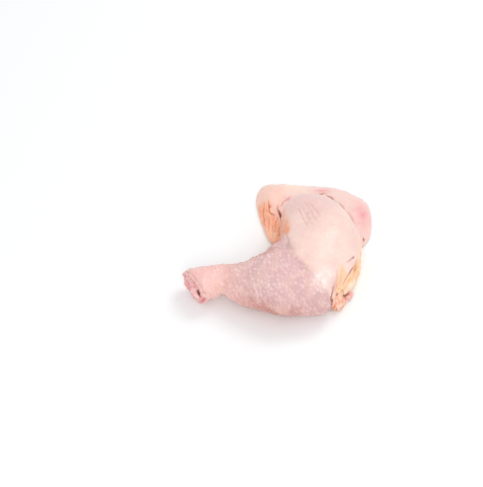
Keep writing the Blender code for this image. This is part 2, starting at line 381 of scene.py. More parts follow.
class Relief:
    """A fine closed mesh of a frame solid, whose surface is raised, lowered and masked."""

    def __init__(self, node: bpy.types.Object, name: str, voxel: float) -> None:
        """Makes an even fine mesh of the node's form.

        Args:
            node: The frame solid to follow.
            name: The new piece's name.
            voxel: The new mesh's edge length.
        """
        bm = bmesh.new()
        bm.from_mesh(node.data)
        bmesh.ops.remove_doubles(bm, verts=bm.verts, dist=0.005 * MM)
        self.obj = new_object(name, bm)
        even = self.obj.modifiers.new("Even", "REMESH")
        even.mode = "VOXEL"
        even.voxel_size = voxel * MM
        bake_modifiers(self.obj)
        self.masks: dict[str, np.ndarray] = {}
        self.read()

    def read(self) -> None:
        """Reads the mesh's points, normals and edges."""
        mesh = self.obj.data
        points = np.empty(len(mesh.vertices) * 3, np.float32)
        mesh.vertices.foreach_get("co", points)
        self.points = points.reshape(-1, 3).astype(float) / MM
        ends = np.empty(len(mesh.edges) * 2, np.int32)
        mesh.edges.foreach_get("vertices", ends)
        self.ends = ends.reshape(-1, 2)
        self.read_normals()

    def read_normals(self) -> None:
        """Reads the way each point faces."""
        normals = np.empty(len(self.obj.data.vertices) * 3, np.float32)
        self.obj.data.vertex_normals.foreach_get("vector", normals)
        self.normals = normals.reshape(-1, 3).astype(float)

    def write(self) -> None:
        """Puts the points back into the mesh."""
        self.obj.data.vertices.foreach_set("co", (self.points * MM).astype(np.float32).ravel())
        self.obj.data.update()
        self.read_normals()

    def relax(self, share: np.ndarray | float, rounds: int) -> None:
        """Draws each point towards the middle of its neighbours.

        Args:
            share: How far it moves each time, for all points or for each.
            rounds: How many times.
        """
        first, second = self.ends.T
        total = len(self.points)
        neighbours = np.bincount(self.ends.ravel(), minlength=total)
        pull = np.broadcast_to(share, total)
        for _ in range(rounds):
            for axis in range(3):
                values = self.points[:, axis]
                sums = np.bincount(first, values[second], total) + np.bincount(second, values[first], total)
                self.points[:, axis] = values + pull * (sums / neighbours - values)

    def raise_by(self, heights: np.ndarray) -> None:
        """Moves each point out along the way it faces."""
        self.points += self.normals * heights[:, None]
        self.write()

    def pull(self, pulls: tuple[tuple[Spot, Point3], ...]) -> None:
        """Shifts soft places of the surface.

        Args:
            pulls: Each place, with the shift at its centre.
        """
        for spot, shift in pulls:
            self.points += spot.mask(self.points)[:, None] * np.array(shift)
        self.write()

    def fold(self, folds: tuple[Fold, ...], facing: float = -0.2, stray: float = 1.0) -> None:
        """Presses folds into the side that faces up, and notes where shade is painted in them.

        Args:
            folds: The folds.
            facing: How far down a point may face before it is left out.
            stray: How far the folds wander off their routes.
        """
        shown = smooth_step((self.normals[:, 2] - facing) / 0.4)
        heights = np.zeros(len(self.points))
        dark = self.masks.get("crease", np.zeros(len(self.points)))
        wander = ripple(self.points, 4.0, Pattern.FOLD_ROUTES)[:, None] * np.array((1.1, 0.7, 0.0)) * stray
        for each in folds:
            height, shade = each.measure(self.points + wander)
            heights += height * shown
            dark = np.maximum(dark, shade * shown)
        self.masks["crease"] = dark
        self.raise_by(heights)

    def open_underside(self, below: float) -> None:
        """Swaps the flat underside's many faces for a few wide ones.

        Args:
            below: Faces whose points all lie lower than this are the underside.
        """
        bm = bmesh.new()
        bm.from_mesh(self.obj.data)
        flat = [face for face in bm.faces if all(vert.co.z < below * MM for vert in face.verts)]
        bmesh.ops.delete(bm, geom=flat, context="FACES")
        edges = [edge for edge in bm.edges if edge.is_boundary]
        for vert in {vert for edge in edges for vert in edge.verts}:
            vert.co.z = 0.0
        made = bmesh.ops.triangle_fill(bm, use_beauty=True, edges=edges, normal=(0, 0, -1))["geom"]
        for edge in edges:
            edge.smooth = False
        for face in made:
            if isinstance(face, bmesh.types.BMFace):
                face.smooth = False
                if face.normal.z > 0:
                    face.normal_flip()
        bm.to_mesh(self.obj.data)
        bm.free()
        self.read()

    def keep_above_table(self) -> None:
        """Lifts points that would lie below the table onto it."""
        self.points[:, 2] = np.maximum(self.points[:, 2], 0.0)
        self.write()

    def shade_smooth(self) -> None:
        """Shades every face smooth."""
        self.obj.data.polygons.foreach_set("use_smooth", [True] * len(self.obj.data.polygons))

    def keep_masks(self) -> None:
        """Stores the masks on the mesh, where the materials read them."""
        for name, mask in self.masks.items():
            layer = self.obj.data.attributes.new(name, "FLOAT", "POINT")
            layer.data.foreach_set("value", np.clip(mask, 0, 1).astype(np.float32))


def new_object(name: str, bm: bmesh.types.BMesh) -> bpy.types.Object:
    """Links a mesh to the scene as an object with its origin at the world's.

    Args:
        name: The object's name.
        bm: The mesh, which is freed.

    Returns:
        The object.
    """
    mesh = bpy.data.meshes.new(name)
    bm.to_mesh(mesh)
    bm.free()
    made = bpy.data.objects.new(name, mesh)
    bpy.context.scene.collection.objects.link(made)
    return made


def bake_modifiers(obj: bpy.types.Object) -> None:
    """Makes the modifiers of an object part of its mesh.

    Args:
        obj: The object.
    """
    shown = obj.evaluated_get(bpy.context.evaluated_depsgraph_get())
    mesh = bpy.data.meshes.new_from_object(shown)
    obj.modifiers.clear()
    obj.data = mesh


# Materials


class Shade:
    """A shader socket that takes part in Python's arithmetic."""

    def __init__(self, recipe: "Recipe", socket: bpy.types.NodeSocket) -> None:
        """Wraps a socket of a recipe's tree."""
        self.recipe = recipe
        self.socket = socket

    def _maths(self, operation: str, first: Any, second: Any = 0.0) -> "Shade":
        """One Math node on two values."""
        return self.recipe.node("ShaderNodeMath", {"operation": operation}, {0: first, 1: second})

    def __add__(self, other: Any) -> "Shade":
        """self + other."""
        return self._maths("ADD", self, other)

    def __radd__(self, other: Any) -> "Shade":
        """other + self."""
        return self._maths("ADD", other, self)

    def __sub__(self, other: Any) -> "Shade":
        """self - other."""
        return self._maths("SUBTRACT", self, other)

    def __rsub__(self, other: Any) -> "Shade":
        """other - self."""
        return self._maths("SUBTRACT", other, self)

    def __mul__(self, other: Any) -> "Shade":
        """self * other."""
        return self._maths("MULTIPLY", self, other)

    def __rmul__(self, other: Any) -> "Shade":
        """other * self."""
        return self._maths("MULTIPLY", other, self)

    def between(self, low: float, high: float) -> "Shade":
        """0 at low, 1 at high, eased and held outside them."""
        settings = {"interpolation_type": "SMOOTHSTEP"}
        return self.recipe.node("ShaderNodeMapRange", settings, {0: self, 1: low, 2: high, 3: 0.0, 4: 1.0})


class Recipe:
    """A material being put together from nodes."""

    def __init__(self, name: str) -> None:
        """Starts a material with one Principled shader.

        Args:
            name: The material's name.
        """
        self.material = bpy.data.materials.new(name)
        self.material.use_nodes = True
        self.tree = self.material.node_tree
        self.shader = self.tree.nodes["Principled BSDF"]
        self.place = self.node("ShaderNodeTexCoord", {}, {}, "Object")

    def node(self, kind: str, settings: dict[str, Any], values: dict[Any, Any], output: Any = 0) -> Shade:
        """Adds any node.

        Args:
            kind: The node's type.
            settings: Its own settings, set before its sockets.
            values: Values or links for its sockets, by name or number.
            output: The socket to return.

        Returns:
            The chosen output.
        """
        made = self.tree.nodes.new(kind)
        for name, value in settings.items():
            setattr(made, name, value)
        for key, value in values.items():
            self.feed(made.inputs[key], value)
        return Shade(self, made.outputs[output])

    def feed(self, socket: bpy.types.NodeSocket, value: Any) -> None:
        """Links a shade to a socket, or sets the socket's own value.

        Args:
            socket: The socket.
            value: A shade, a tint or a plain value.
        """
        if isinstance(value, Shade):
            self.tree.links.new(value.socket, socket)
        else:
            socket.default_value = value.value if isinstance(value, Tint) else value

    def mask(self, name: str) -> Shade:
        """One of the masks kept on the mesh."""
        return self.node("ShaderNodeAttribute", {"attribute_name": name}, {}, "Fac")

    def noise(self, wavelength: float, detail: float = 2.0, roughness: float = 0.5) -> Shade:
        """Adds noise from 0 to 1.

        Args:
            wavelength: How many millimetres lie between two crests.
            detail: How many finer layers it has.
            roughness: How much these count.

        Returns:
            The noise.
        """
        scale = 1 / (wavelength * MM)
        values = {"Vector": self.place, "Scale": scale, "Detail": detail, "Roughness": roughness}
        return self.node("ShaderNodeTexNoise", {}, values, "Fac")

    def mix(self, factor: Any, first: Any, second: Any) -> Shade:
        """The first colour turning into the second as the factor goes from 0 to 1."""
        return self.node("ShaderNodeMix", {"data_type": "RGBA"}, {0: factor, 6: first, 7: second}, 2)

    def cover(self, colour: Any, *layers: tuple[str, Any, Any]) -> Shade:
        """Lays colours over another one.

        Args:
            colour: The colour underneath.
            layers: For each colour its mask, how much of it shows there, and the colour.

        Returns:
            The covered colour.
        """
        for name, share, tint in layers:
            colour = self.mix(self.mask(name) * share, colour, tint)
        return colour

    def bump(self, height: Shade, depth: float) -> Shade:
        """Fine relief, so many millimetres deep."""
        return self.node("ShaderNodeBump", {}, {"Strength": 1.0, "Distance": depth * MM, "Height": height})

    def finish(self, surface: "Surface", colour: Shade, roughness: Any, normal: Shade, wet: Any) -> None:
        """Feeds the shader.

        Args:
            surface: What is the same all over.
            colour: The base colour.
            roughness: The roughness.
            normal: The relief.
            wet: How much of the wet film lies on it.
        """
        self.feed(self.shader.inputs["Base Color"], colour)
        self.feed(self.shader.inputs["Roughness"], roughness)
        self.feed(self.shader.inputs["Normal"], normal)
        self.feed(self.shader.inputs["Coat Weight"], wet)
        self.shader.inputs["Coat Roughness"].default_value = surface.film_roughness
        self.shader.inputs["Subsurface Weight"].default_value = surface.glow
        self.shader.inputs["Subsurface Scale"].default_value = surface.glow_depth * MM
        self.shader.inputs["Subsurface Radius"].default_value = surface.glow_spread
        self.shader.inputs["Specular IOR Level"].default_value = surface.shine


@dataclass(frozen=True)
class Surface:
    """What is the same all over a finish.

    Attributes:
        glow: How much light goes into the flesh and comes out again.
        glow_depth: How deep it goes.
        glow_spread: How deep red, green and blue go, as shares of that.
        film_roughness: How blurred the wet film's reflections are.
        shine: How strongly the flesh itself reflects.
    """

    glow: float = 0.16
    glow_depth: float = 2.2
    glow_spread: Point3 = (1.0, 0.45, 0.32)
    film_roughness: float = 0.22
    shine: float = 0.4


@dataclass(frozen=True)
class SkinFinish:
    """Raw skin: peach on the thigh, mauve between pale pebbles on the drumstick, with painted shade in
    creases and low down, and painted highlights.

    Attributes:
        surface: What is the same all over.
    """

    surface: Surface = Surface()

    def build(self) -> bpy.types.Material:
        """Makes the material, which reads the masks of the skin's mesh.

        Returns:
            The material.
        """
        mix = Recipe("raw_skin")
        broad = mix.noise(16.0, 3.0).between(0.32, 0.68)
        blotch = mix.noise(5.5, 3.0, 0.6).between(0.35, 0.7)
        grain = mix.noise(1.6)
        patchy = 0.6 + blotch * 0.4
        colour = mix.cover(
            mix.mix(broad, Tint.PEACH, Tint.PEACH_LIGHT),
            ("thigh_top", patchy, Tint.THIGH_TOP),
            ("flap", 0.55 + broad * 0.45, Tint.FLAP_PINK),
            ("corner", patchy, Tint.FLAP_PEACH),
            ("cream", patchy, Tint.FLAP_CREAM),
        )
        mottle = mix.noise(2.4, 3.0, 0.65).between(0.35, 0.7)
        colour = mix.mix((1 - mottle) * 0.28, colour, Tint.THIGH_TOP)
        pebble = (mix.mask("pebble") + (grain - 0.5) * 0.6 + (blotch - 0.5) * 0.4).between(0.0, 1.15)
        orange = mix.cover(
            mix.mix(blotch * 0.7, Tint.ORANGE, Tint.ORANGE_DEEP),
            ("wall", 1.0, Tint.ORANGE_WALL),
            # Painted light on the shaded low tip.
            ("tip", 0.9, Tint.ORANGE_PAINTED_LIGHT),
        )
        # Blotches that break up the painted highlight.
        highlight_blotch = mix.noise(3.0).between(0.4, 0.62)
        fat = mix.mix(mix.noise(6.0, 3.0, 0.6).between(0.4, 0.7), Tint.FAT, Tint.FAT_DEEP)
        colour = mix.cover(
            colour,
            ("drum", 1.0, self.drumstick(mix, pebble)),
            # Specks with painted shade between the thigh's bumps, and painted shade at the hock's edge.
            ("speckled", 1 - pebble * 0.7, Tint.SPECK_AND_SHADE),
            ("orange", 0.75 + broad * 0.25, orange),
            ("yellow", patchy, Tint.YELLOW),
            ("muscle", 0.65 + blotch * 0.35, Tint.MUSCLE),
            # The pale mask is a painted highlight.
            ("pale", 0.45 + highlight_blotch * 0.55, Tint.PAINTED_HIGHLIGHT),
            ("fat", 1.0, mix.cover(fat, ("amber", 1.0, Tint.AMBER))),
            ("raw", 1.0, mix.cover(mix.mix(blotch, Tint.RAW, Tint.RAW_DARK), ("lip", 1.0, Tint.LIP))),
            # Painted shade in the hock's slit.
            ("slit", 1.0, Tint.SLIT_SHADE_AND_MARKS),
        )
        # Painted shade in creases, wrinkles and folds, from the crease mask.
        crease = mix.cover(Tint.CREASE, ("orange", 1.0, Tint.CREASE_SHADE_ORANGE))
        colour = mix.mix(mix.mask("crease").between(0.0, 0.8), colour, crease)
        # Darkest painted shade in deep creases, and dark marks.
        colour = mix.mix(mix.mask("crease").between(0.6, 1.0), colour, Tint.DEEP_SHADE_AND_MARKS)
        rough = 0.5 - mix.mask("wet") * 0.2 - blotch * 0.1
        film = 0.12 + mix.mask("wet") * 0.6 + blotch * 0.1
        relief = mix.bump(grain + mix.noise(0.7) * 0.5, 0.16)
        mix.finish(self.surface, colour, rough, relief, film)
        return mix.material

    def drumstick(self, mix: Recipe, pebble: Shade) -> Shade:
        """Mixes the drumstick's colour.

        Args:
            mix: The material.
            pebble: 0 between pebbles and 1 on them.

        Returns:
            The colour.
        """
        # The far mask paints shade on the drumstick's side that faces away.
        valley = mix.cover(Tint.VALLEY, ("far", 1.0, Tint.VALLEY_FAR_SIDE_SHADE))
        top = mix.cover(Tint.PEBBLE, ("far", 1.0, Tint.PEBBLE_IN_SHADE))
        # Mixed by pebble height: pale pebble tops, and valleys darker partly as painted shade.
        colour = mix.cover(
            mix.mix(pebble, valley, top),
            # The low mask paints shade towards the drumstick's bottom.
            ("low", 1.0, mix.mix(pebble, Tint.VALLEY_LOW_SHADE, Tint.PEBBLE_IN_SHADE)),
            ("ankle", 1.0, mix.mix(pebble, Tint.ANKLE, Tint.ANKLE_LIGHT)),
        )
        colour = mix.mix(mix.noise(12.0).between(0.42, 0.68) * 0.5, colour, Tint.DRUM_WARM)
        return mix.cover(colour, ("dusky", 0.45, Tint.VALLEY))


@dataclass(frozen=True)
class TwoTone:
    """Flesh that varies between two colours, used for bone, fat and bare meat.

    Attributes:
        name: The material's name.
        light: Its main colour.
        deep: Its colour in random patches, and its painted shade in hollows.
        patch: How wide the patches are.
        streak: How many times longer they run along the table than up.
        accent: Its colour in the places that the accent mask names.
        surface: What is the same all over.
    """

    name: str
    light: Tint
    deep: Tint
    patch: float
    streak: float
    accent: Tint
    surface: Surface

    def build(self) -> bpy.types.Material:
        """Makes the material, which reads the masks of the piece's mesh.

        Returns:
            The material.
        """
        mix = Recipe(self.name)
        squash = {"Vector": mix.place, "Scale": (1.0, 1.0, self.streak)}
        mix.place = mix.node("ShaderNodeMapping", {}, squash)
        blotch = mix.noise(self.patch, 3.0, 0.6).between(0.35, 0.68)
        grain = mix.noise(self.patch * 0.2)
        # Painted shade where the crease mask says, on top of the random patches.
        deep = (blotch * 0.75 + mix.mask("crease")).between(0.0, 1.0)
        colour = mix.mix(mix.mask("accent"), mix.mix(deep, self.light, self.deep), self.accent)
        # Painted shade in the hock's slit, and dark marks.
        colour = mix.mix(mix.mask("slit"), colour, Tint.SLIT_SHADE_AND_MARKS)
        rough = 0.42 - blotch * 0.1
        mix.finish(self.surface, colour, rough, mix.bump(grain, 0.12), 0.35 + blotch * 0.25)
        return mix.material


SOFT_FAT = Surface(glow=0.22)
WET_BONE = Surface(glow=0.1, film_roughness=0.12)
WET_MEAT = Surface(glow=0.16, film_roughness=0.14)
CUT_MUSCLE = Surface(glow=0.2, film_roughness=0.14)

# The leg's skin, in the plan's own places

DRUM = Zone(
    (
        (3.4, -4.0), (4.3, -8.3), (6.5, -17.4), (9.5, -30.2), (11.8, -36.5), (14.9, -41.5), (18.0, -45.2),
        (22.0, -48.9), (30.0, -55.4), (38.1, -64.8), (50.0, -74.0), (60.0, -95.0), (-100.0, -95.0),
        (-100.0, 10.0), (-12.0, 5.0), (-3.0, -2.0),
    ),
    soft=2.4,
)
ORANGE_SKIN = Zone(
    (
        (-24.0, 53.0), (-14.0, 52.0), (-8.5, 48.5), (-6.0, 40.5), (-1.5, 36.0), (2.0, 31.0), (3.5, 24.0),
        (5.5, 14.0), (9.0, 4.0), (8.0, -6.0), (3.0, -6.0), (-3.0, -3.0), (-12.0, 4.0), (-30.0, 30.0),
    ),
    soft=3.6,
)
FLAP_SKIN = Zone(
    (
        (1.0, 46.0), (10.0, 53.0), (24.0, 58.0), (40.0, 58.0), (50.0, 50.0), (58.0, 34.0), (63.0, 10.0),
        (63.0, -8.0), (100.0, 0.0), (100.0, 100.0), (-40.0, 100.0), (-40.0, 50.0),
    ),
    soft=4.5,
)
CREAM_STRIP = Zone(((4.0, 60.0), (27.0, 60.0), (29.0, 90.0), (3.0, 90.0)), soft=5.0)
FLAP_CORNER = Zone(
    ((-30.0, 34.0), (1.0, 32.0), (3.0, 46.0), (6.0, 60.0), (2.0, 95.0), (-30.0, 95.0)),
    soft=4.0,
)
THIGH_TOP = Zone(
    ((4.0, 40.0), (10.0, 12.0), (30.0, -2.0), (44.0, 12.0), (46.0, 40.0), (20.0, 58.0)),
    soft=10.0,
)
ANKLE = Zone(((-100.0, -100.0), (-35.0, -100.0), (-41.0, 10.0), (-100.0, 10.0)), soft=20.0)
FAT_EDGE = Zone(
    (
        (69.0, -6.0), (66.0, -24.0), (64.0, -29.2), (61.2, -35.5), (58.6, -40.9), (55.1, -47.0),
        (51.9, -51.3), (46.0, -56.5), (60.0, -70.0), (90.0, -50.0), (90.0, -2.0),
    ),
    soft=0.9,
)
YELLOW_SKIN = Zone(
    (
        (47.5, -46.0), (52.5, -44.5), (57.0, -46.5), (55.0, -52.0), (50.0, -60.0), (44.0, -61.0),
        (46.5, -50.0),
    ),
    soft=3.0,
)
YELLOW_SPOTS = (
    Spot((19.5, -46.0, 44.0), (2.2, 1.8, 4.0)),
    Spot((44.2, -62.5, 14.0), (3.0, 4.0, 9.0)),
    Spot((66.0, -14.0, 26.0), (6.0, 9.0, 9.0)),
)
MUSCLE_SPOTS = (
    Spot((72.0, 37.6, 10.0), (8.0, 13.0, 9.0)),
    Spot((9.0, 50.5, 13.0), (5.0, 3.0, 6.0)),
    Spot((38.0, 65.0, 9.0), (6.0, 3.5, 5.0)),
)
WET_SPOTS = (
    Spot((30.0, -57.0, 40.0), (5.0, 8.0, 6.0)),
    Spot((37.0, -53.0, 40.0), (5.0, 5.0, 6.0)),
    Spot((-20.0, -50.0, 42.0), (26.0, 7.0, 9.0)),
)
ORANGE_WALL = (Spot((5.0, 0.0, 34.0), (4.5, 7.0, 8.0)), Spot((6.4, -4.0, 37.4), (3.2, 5.5, 5.0)))
# Painted light where the orange skin sinks low between drumstick and flap.
ORANGE_TIP_LIGHT = Spot((-4.5, 18.5, 4.5), (8.0, 8.0, 6.0))
# Dark specks on the thigh, with painted shade between its bumps.
SPECKLED = Spot((9.0, 22.0, 34.0), (5.5, 12.0, 14.0))
AMBER_SPOT = Spot((61.7, -36.5, 27.0), (4.0, 5.6, 6.0))
THIGH_SIDE = Spot((60.0, -14.0, 34.0), (9.0, 18.0, 11.0))
DUSKY_SPOT = Spot((3.5, -52.0, 41.0), (15.0, 14.0, 16.0))
SMOOTH_TIP = Spot((4.0, -6.0, 34.0), (8.0, 9.0, 9.0))
WRINKLED = Spot((26.0, 4.0, 47.5), (10.0, 16.0, 8.0))
# Painted highlights: the whitish wet shine on the skin by the knee.
PAINTED_HIGHLIGHT_SPOTS = (
    Spot((31.0, -57.5, 40.0), (4.5, 7.5, 6.0)),
    Spot((37.0, -52.5, 40.0), (5.0, 5.0, 6.0)),
    Spot((34.0, -60.0, 36.5), (3.5, 5.0, 6.0)),
)
# Dark marks on the skin, and painted shadow in the crease left of the fat flap.
DARK_MARKS_AND_SHADOWS = (
    Spot((46.2, -55.5, 19.2), (1.2, 5.0, 2.4)),
    Spot((60.9, -37.6, 27.0), (0.7, 1.0, 1.4)),
    Spot((72.1, 13.0, 5.1), (0.8, 1.7, 2.6)),
    Spot((59.7, -33.0, 37.1), (0.9, 0.9, 1.6)),
    Spot((41.9, -65.3, 21.0), (1.1, 2.2, 3.0)),
    Spot((41.6, -66.3, 17.0), (1.4, 2.4, 3.0)),
    Spot((41.4, -66.8, 13.0), (1.6, 2.4, 3.0)),
    Spot((42.0, -65.5, 9.0), (1.6, 2.4, 3.0)),
)
PATCHES = {
    "dusky": DUSKY_SPOT,
    # Painted light on the orange skin's low tip.
    "tip": ORANGE_TIP_LIGHT,
    "flap": FLAP_SKIN,
    "cream": CREAM_STRIP,
    "corner": FLAP_CORNER,
    "ankle": ANKLE,
    "amber": AMBER_SPOT,
}
# The pale mask holds painted highlights.
SPOTTED = {"yellow": YELLOW_SPOTS, "muscle": MUSCLE_SPOTS, "wet": WET_SPOTS, "pale": PAINTED_HIGHLIGHT_SPOTS}

BOUNDARY = (
    Fold(
        (
            (0.5, 1.5, 26.0), (2.0, -0.5, 29.2), (5.0, -5.3, 36.2), (6.6, -13.6, 39.6),
            (7.4, -20.4, 41.0), (9.5, -30.2, 42.1),
        ),
        width=1.0, depth=0.35, kind=FoldKind.STEP, shade=0.35,
    ),
    Fold(
        (
            (9.5, -30.2, 42.1), (12.5, -38.0, 43.4), (18.0, -45.2, 43.7), (25.0, -51.5, 43.3),
            (33.0, -59.0, 38.5),
        ),
        width=4.5, depth=1.3, kind=FoldKind.RIDGE,
    ),
)
DEEP_CREASE = Fold(
    (
        (-0.4, 45.0, 13.0), (-0.2, 41.5, 11.5), (0.9, 36.5, 11.0), (2.4, 31.5, 10.8), (2.4, 24.0, 16.0),
        (2.3, 15.2, 23.0), (2.6, 8.0, 27.0),
    ),
    width=0.7, depth=2.2, kind=FoldKind.CREASE, shade=1.0,
)
FLAP_CREASES = (
    (
        (
            (-12.0, 51.5, 9.5), (-13.1, 45.6, 5.6), (-12.8, 38.2, 4.2), (-11.9, 32.1, 4.0),
            (-10.6, 27.0, 4.0),
        ),
        0.6,
    ),
    (
        ((-8.7, 51.0, 12.4), (-7.9, 46.7, 11.5), (-7.3, 41.1, 9.8), (-5.3, 37.8, 8.6), (-3.4, 37.0, 8.5)),
        1.0,
    ),
    (
        ((-4.0, 37.5, 8.6), (-4.7, 33.4, 7.6), (-5.1, 27.9, 6.9), (-5.5, 19.8, 4.2), (-4.5, 13.0, 4.1)),
        0.4,
    ),
    (((-1.0, 34.5, 8.4), (-2.4, 30.8, 6.5), (-2.9, 25.4, 6.0), (-2.5, 18.8, 6.0)), 0.35),
    (((-7.8, 37.0, 8.5), (-8.6, 30.2, 4.3), (-9.3, 26.8, 4.2), (-8.3, 20.4, 4.0)), 0.55),
    (((-0.3, 29.5, 8.0), (0.1, 22.2, 5.7), (-0.6, 15.5, 5.2)), 0.3),
    (((-15.6, 50.0, 5.3), (-15.0, 43.7, 4.6), (-14.4, 38.0, 4.2)), 0.35),
)
TAG_STREAKS = (
    (
        (45.6, -46.5, 42.5), (45.1, -49.9, 39.2), (44.9, -52.9, 33.8), (44.3, -55.3, 27.8),
        (43.4, -59.3, 26.2),
    ),
    ((51.0, -44.0, 39.0), (50.3, -47.8, 36.6), (49.5, -51.3, 31.9), (49.5, -52.8, 23.3)),
    ((48.0, -46.0, 40.5), (47.9, -49.6, 37.2), (47.6, -52.2, 32.5), (47.4, -53.6, 26.0)),
)
RIM_CREASES = (
    Fold(
        (
            (35.5, 62.1, 10.0), (36.7, 60.9, 10.1), (38.3, 60.6, 10.0), (39.5, 62.2, 9.8),
            (42.4, 61.6, 9.8),
        ),
        width=0.6, depth=0.9, kind=FoldKind.CREASE, shade=0.9,
    ),
    Fold(
        (
            (41.0, 60.8, 9.9), (43.3, 58.4, 9.9), (45.6, 56.3, 9.9), (47.0, 55.2, 9.9),
            (48.6, 53.1, 10.0), (51.0, 50.0, 10.2),
        ),
        width=0.65, depth=0.9, kind=FoldKind.CREASE, shade=0.9,
    ),
    Fold(
        ((52.0, 51.0, 10.4), (53.2, 49.0, 10.5), (56.0, 43.1, 11.1), (57.6, 38.5, 11.4)),
        width=0.7, depth=0.8, kind=FoldKind.CREASE, shade=0.5,
    ),
    Fold(
        (
            (-0.4, 43.1, 12.5), (1.8, 44.1, 12.7), (3.1, 45.2, 13.5), (4.4, 47.8, 14.1),
            (7.7, 51.5, 13.9), (9.1, 54.3, 13.8), (15.0, 56.8, 12.8),
        ),
        width=0.8, depth=0.7, kind=FoldKind.CREASE, shade=0.4,
    ),
    Fold(
        (
            (55.6, 14.9, 37.4), (57.7, 6.4, 39.7), (59.3, -2.8, 41.4), (60.6, -10.4, 41.5),
            (61.6, -17.0, 40.3),
        ),
        width=0.9, depth=0.4, kind=FoldKind.CREASE, shade=0.15,
    ),
    Fold(
        (
            (57.6, 40.0, 11.2), (59.5, 35.7, 11.6), (61.5, 30.0, 12.0), (64.5, 18.0, 14.0),
            (66.0, 6.0, 18.0),
        ),
        width=1.2, depth=0.7, kind=FoldKind.CREASE, shade=0.15,
    ),
    Fold(
        ((61.0, -30.4, 37.0), (59.4, -33.4, 37.1), (57.5, -36.2, 37.8), (53.8, -40.2, 39.4)),
        width=0.55, depth=0.7, kind=FoldKind.CREASE, shade=0.6,
    ),
    Fold(
        (
            (64.6, -28.5, 31.0), (61.3, -35.2, 32.0), (58.8, -40.5, 31.1), (55.7, -45.8, 30.1),
            (53.4, -49.4, 28.2), (51.3, -52.0, 23.0),
        ),
        width=0.38, depth=0.9, kind=FoldKind.CREASE, shade=0.85,
    ),
    Fold(
        (
            (43.4, -55.0, 30.5), (42.5, -60.7, 27.5), (41.5, -64.4, 25.7), (41.0, -67.0, 21.0),
            (42.5, -65.0, 9.0),
        ),
        width=0.9, depth=1.1, kind=FoldKind.CREASE, shade=1.0,
    ),
    Fold(
        (
            (47.3, -44.1, 42.3), (46.9, -51.2, 35.6), (46.7, -53.1, 30.2), (46.5, -54.2, 24.0),
            (46.5, -54.5, 12.0),
        ),
        width=2.8, depth=2.4, kind=FoldKind.RIDGE,
    ),
)
FINE_WRINKLES = (
    ((17.9, 17.3, 43.6), (20.1, 9.6, 46.1), (22.4, 2.4, 48.0), (25.4, -5.6, 49.8), (26.8, -11.9, 50.8)),
    ((21.3, 20.5, 43.8), (24.3, 12.4, 46.7), (26.6, 5.3, 48.5), (28.8, -1.3, 49.9), (31.9, -7.8, 51.0)),
    ((16.0, 10.1, 44.3), (18.3, 2.7, 46.5), (20.6, -4.2, 48.1), (22.8, -11.0, 49.7)),
    ((24.6, 19.5, 45.0), (27.7, 13.2, 47.1), (30.8, 8.1, 48.5)),
    ((14.6, 17.0, 41.0), (16.4, 11.5, 44.2), (18.6, 5.0, 46.0)),
    ((28.0, 14.0, 47.2), (31.5, 6.5, 49.0), (34.5, -1.0, 50.2)),
)


@dataclass(frozen=True)
class Hock:
    """Where the foot was cut off: the plane of the cut and the limb's section there.

    Attributes:
        centre: The middle of the cut.
        out: The way that the cut faces.
        half_width: Half the limb's width across the cut.
        half_height: Half its height.
        skin: How thick the standing edge of skin is.
    """

    centre: Point3 = (-69.9, -47.1, 15.3)
    out: Point3 = (-0.79, -0.61, -0.06)
    half_width: float = 18.2
    half_height: float = 14.8
    skin: float = 2.0

    def axes(self) -> tuple[np.ndarray, np.ndarray, np.ndarray]:
        """Works out which way the cut lies.

        Returns:
            Unit vectors across the cut, up it and out of it.
        """
        out = np.array(self.out) / np.linalg.norm(self.out)
        across = np.cross((0, 0, 1), out)
        across = across / np.linalg.norm(across)
        return across, np.cross(out, across), out

    def measure(self, points: np.ndarray) -> tuple[np.ndarray, np.ndarray]:
        """Places points against the cut.

        Args:
            points: The points.

        Returns:
            How far out of the cut each lies, and its reach from the middle, 1 at the skin's
            inner edge.
        """
        across, up, out = self.axes()
        away = points - np.array(self.centre)
        wide = away @ across / (self.half_width - self.skin)
        high = away @ up / (self.half_height - self.skin)
        return away @ out, np.hypot(wide, high)

    def at(self, across: float, up: float, out: float) -> Vector:
        """The point so many millimetres across, up and out of the middle of the cut."""
        axes = self.axes()
        return Vector(np.array(self.centre) + axes[0] * across + axes[1] * up + axes[2] * out)


# Where shade is painted into the slit beside the bone's end.
HOCK_SLIT = (
    Spot((-68.2, -51.3, 19.0), (0.9, 0.9, 1.5)),
    Spot((-67.2, -52.4, 17.8), (1.2, 1.2, 1.5)),
    Spot((-66.4, -53.3, 16.4), (1.4, 1.4, 1.6)),
    Spot((-65.6, -54.0, 14.8), (1.2, 1.2, 1.5)),
    Spot((-64.9, -54.5, 13.0), (0.9, 0.9, 1.4)),
)
# Painted shade on the hock's shaded lower left edge.
HOCK_SHADED_EDGE = Spot((-77.0, -39.0, 5.0), (4.5, 8.0, 6.0))
HOCK_PULLS = (
    (Spot((-56.5, -58.5, 10.0), (6.5, 7.0, 11.0)), (0.0, 3.2, 0.0)),
    (Spot((-79.5, -34.0, 13.0), (5.0, 6.0, 8.0)), (0.6, -0.8, -2.8)),
    (Spot((-63.0, -56.0, 18.0), (4.0, 4.0, 7.0)), (-1.7, -0.6, 0.0)),
)
BELLY_PULLS = (
    (Spot((12.0, -77.0, 12.0), (30.0, 9.0, 16.0)), (0.0, 2.4, 0.0)),
    (Spot((-39.0, -58.0, 9.0), (17.0, 10.0, 14.0)), (0.0, -3.2, 0.0)),
)
TAG_PULLS = ((Spot((46.5, -53.8, 22.0), (4.5, 4.5, 5.5)), (0.0, -1.4, -3.6)),)


def slit_mask(points: np.ndarray) -> np.ndarray:
    """1 in the slit beside the bone's end, where shade is painted dark, fading to 0 round it."""
    return np.clip(sum(spot.mask(points) for spot in HOCK_SLIT) * 1.3, 0, 1)


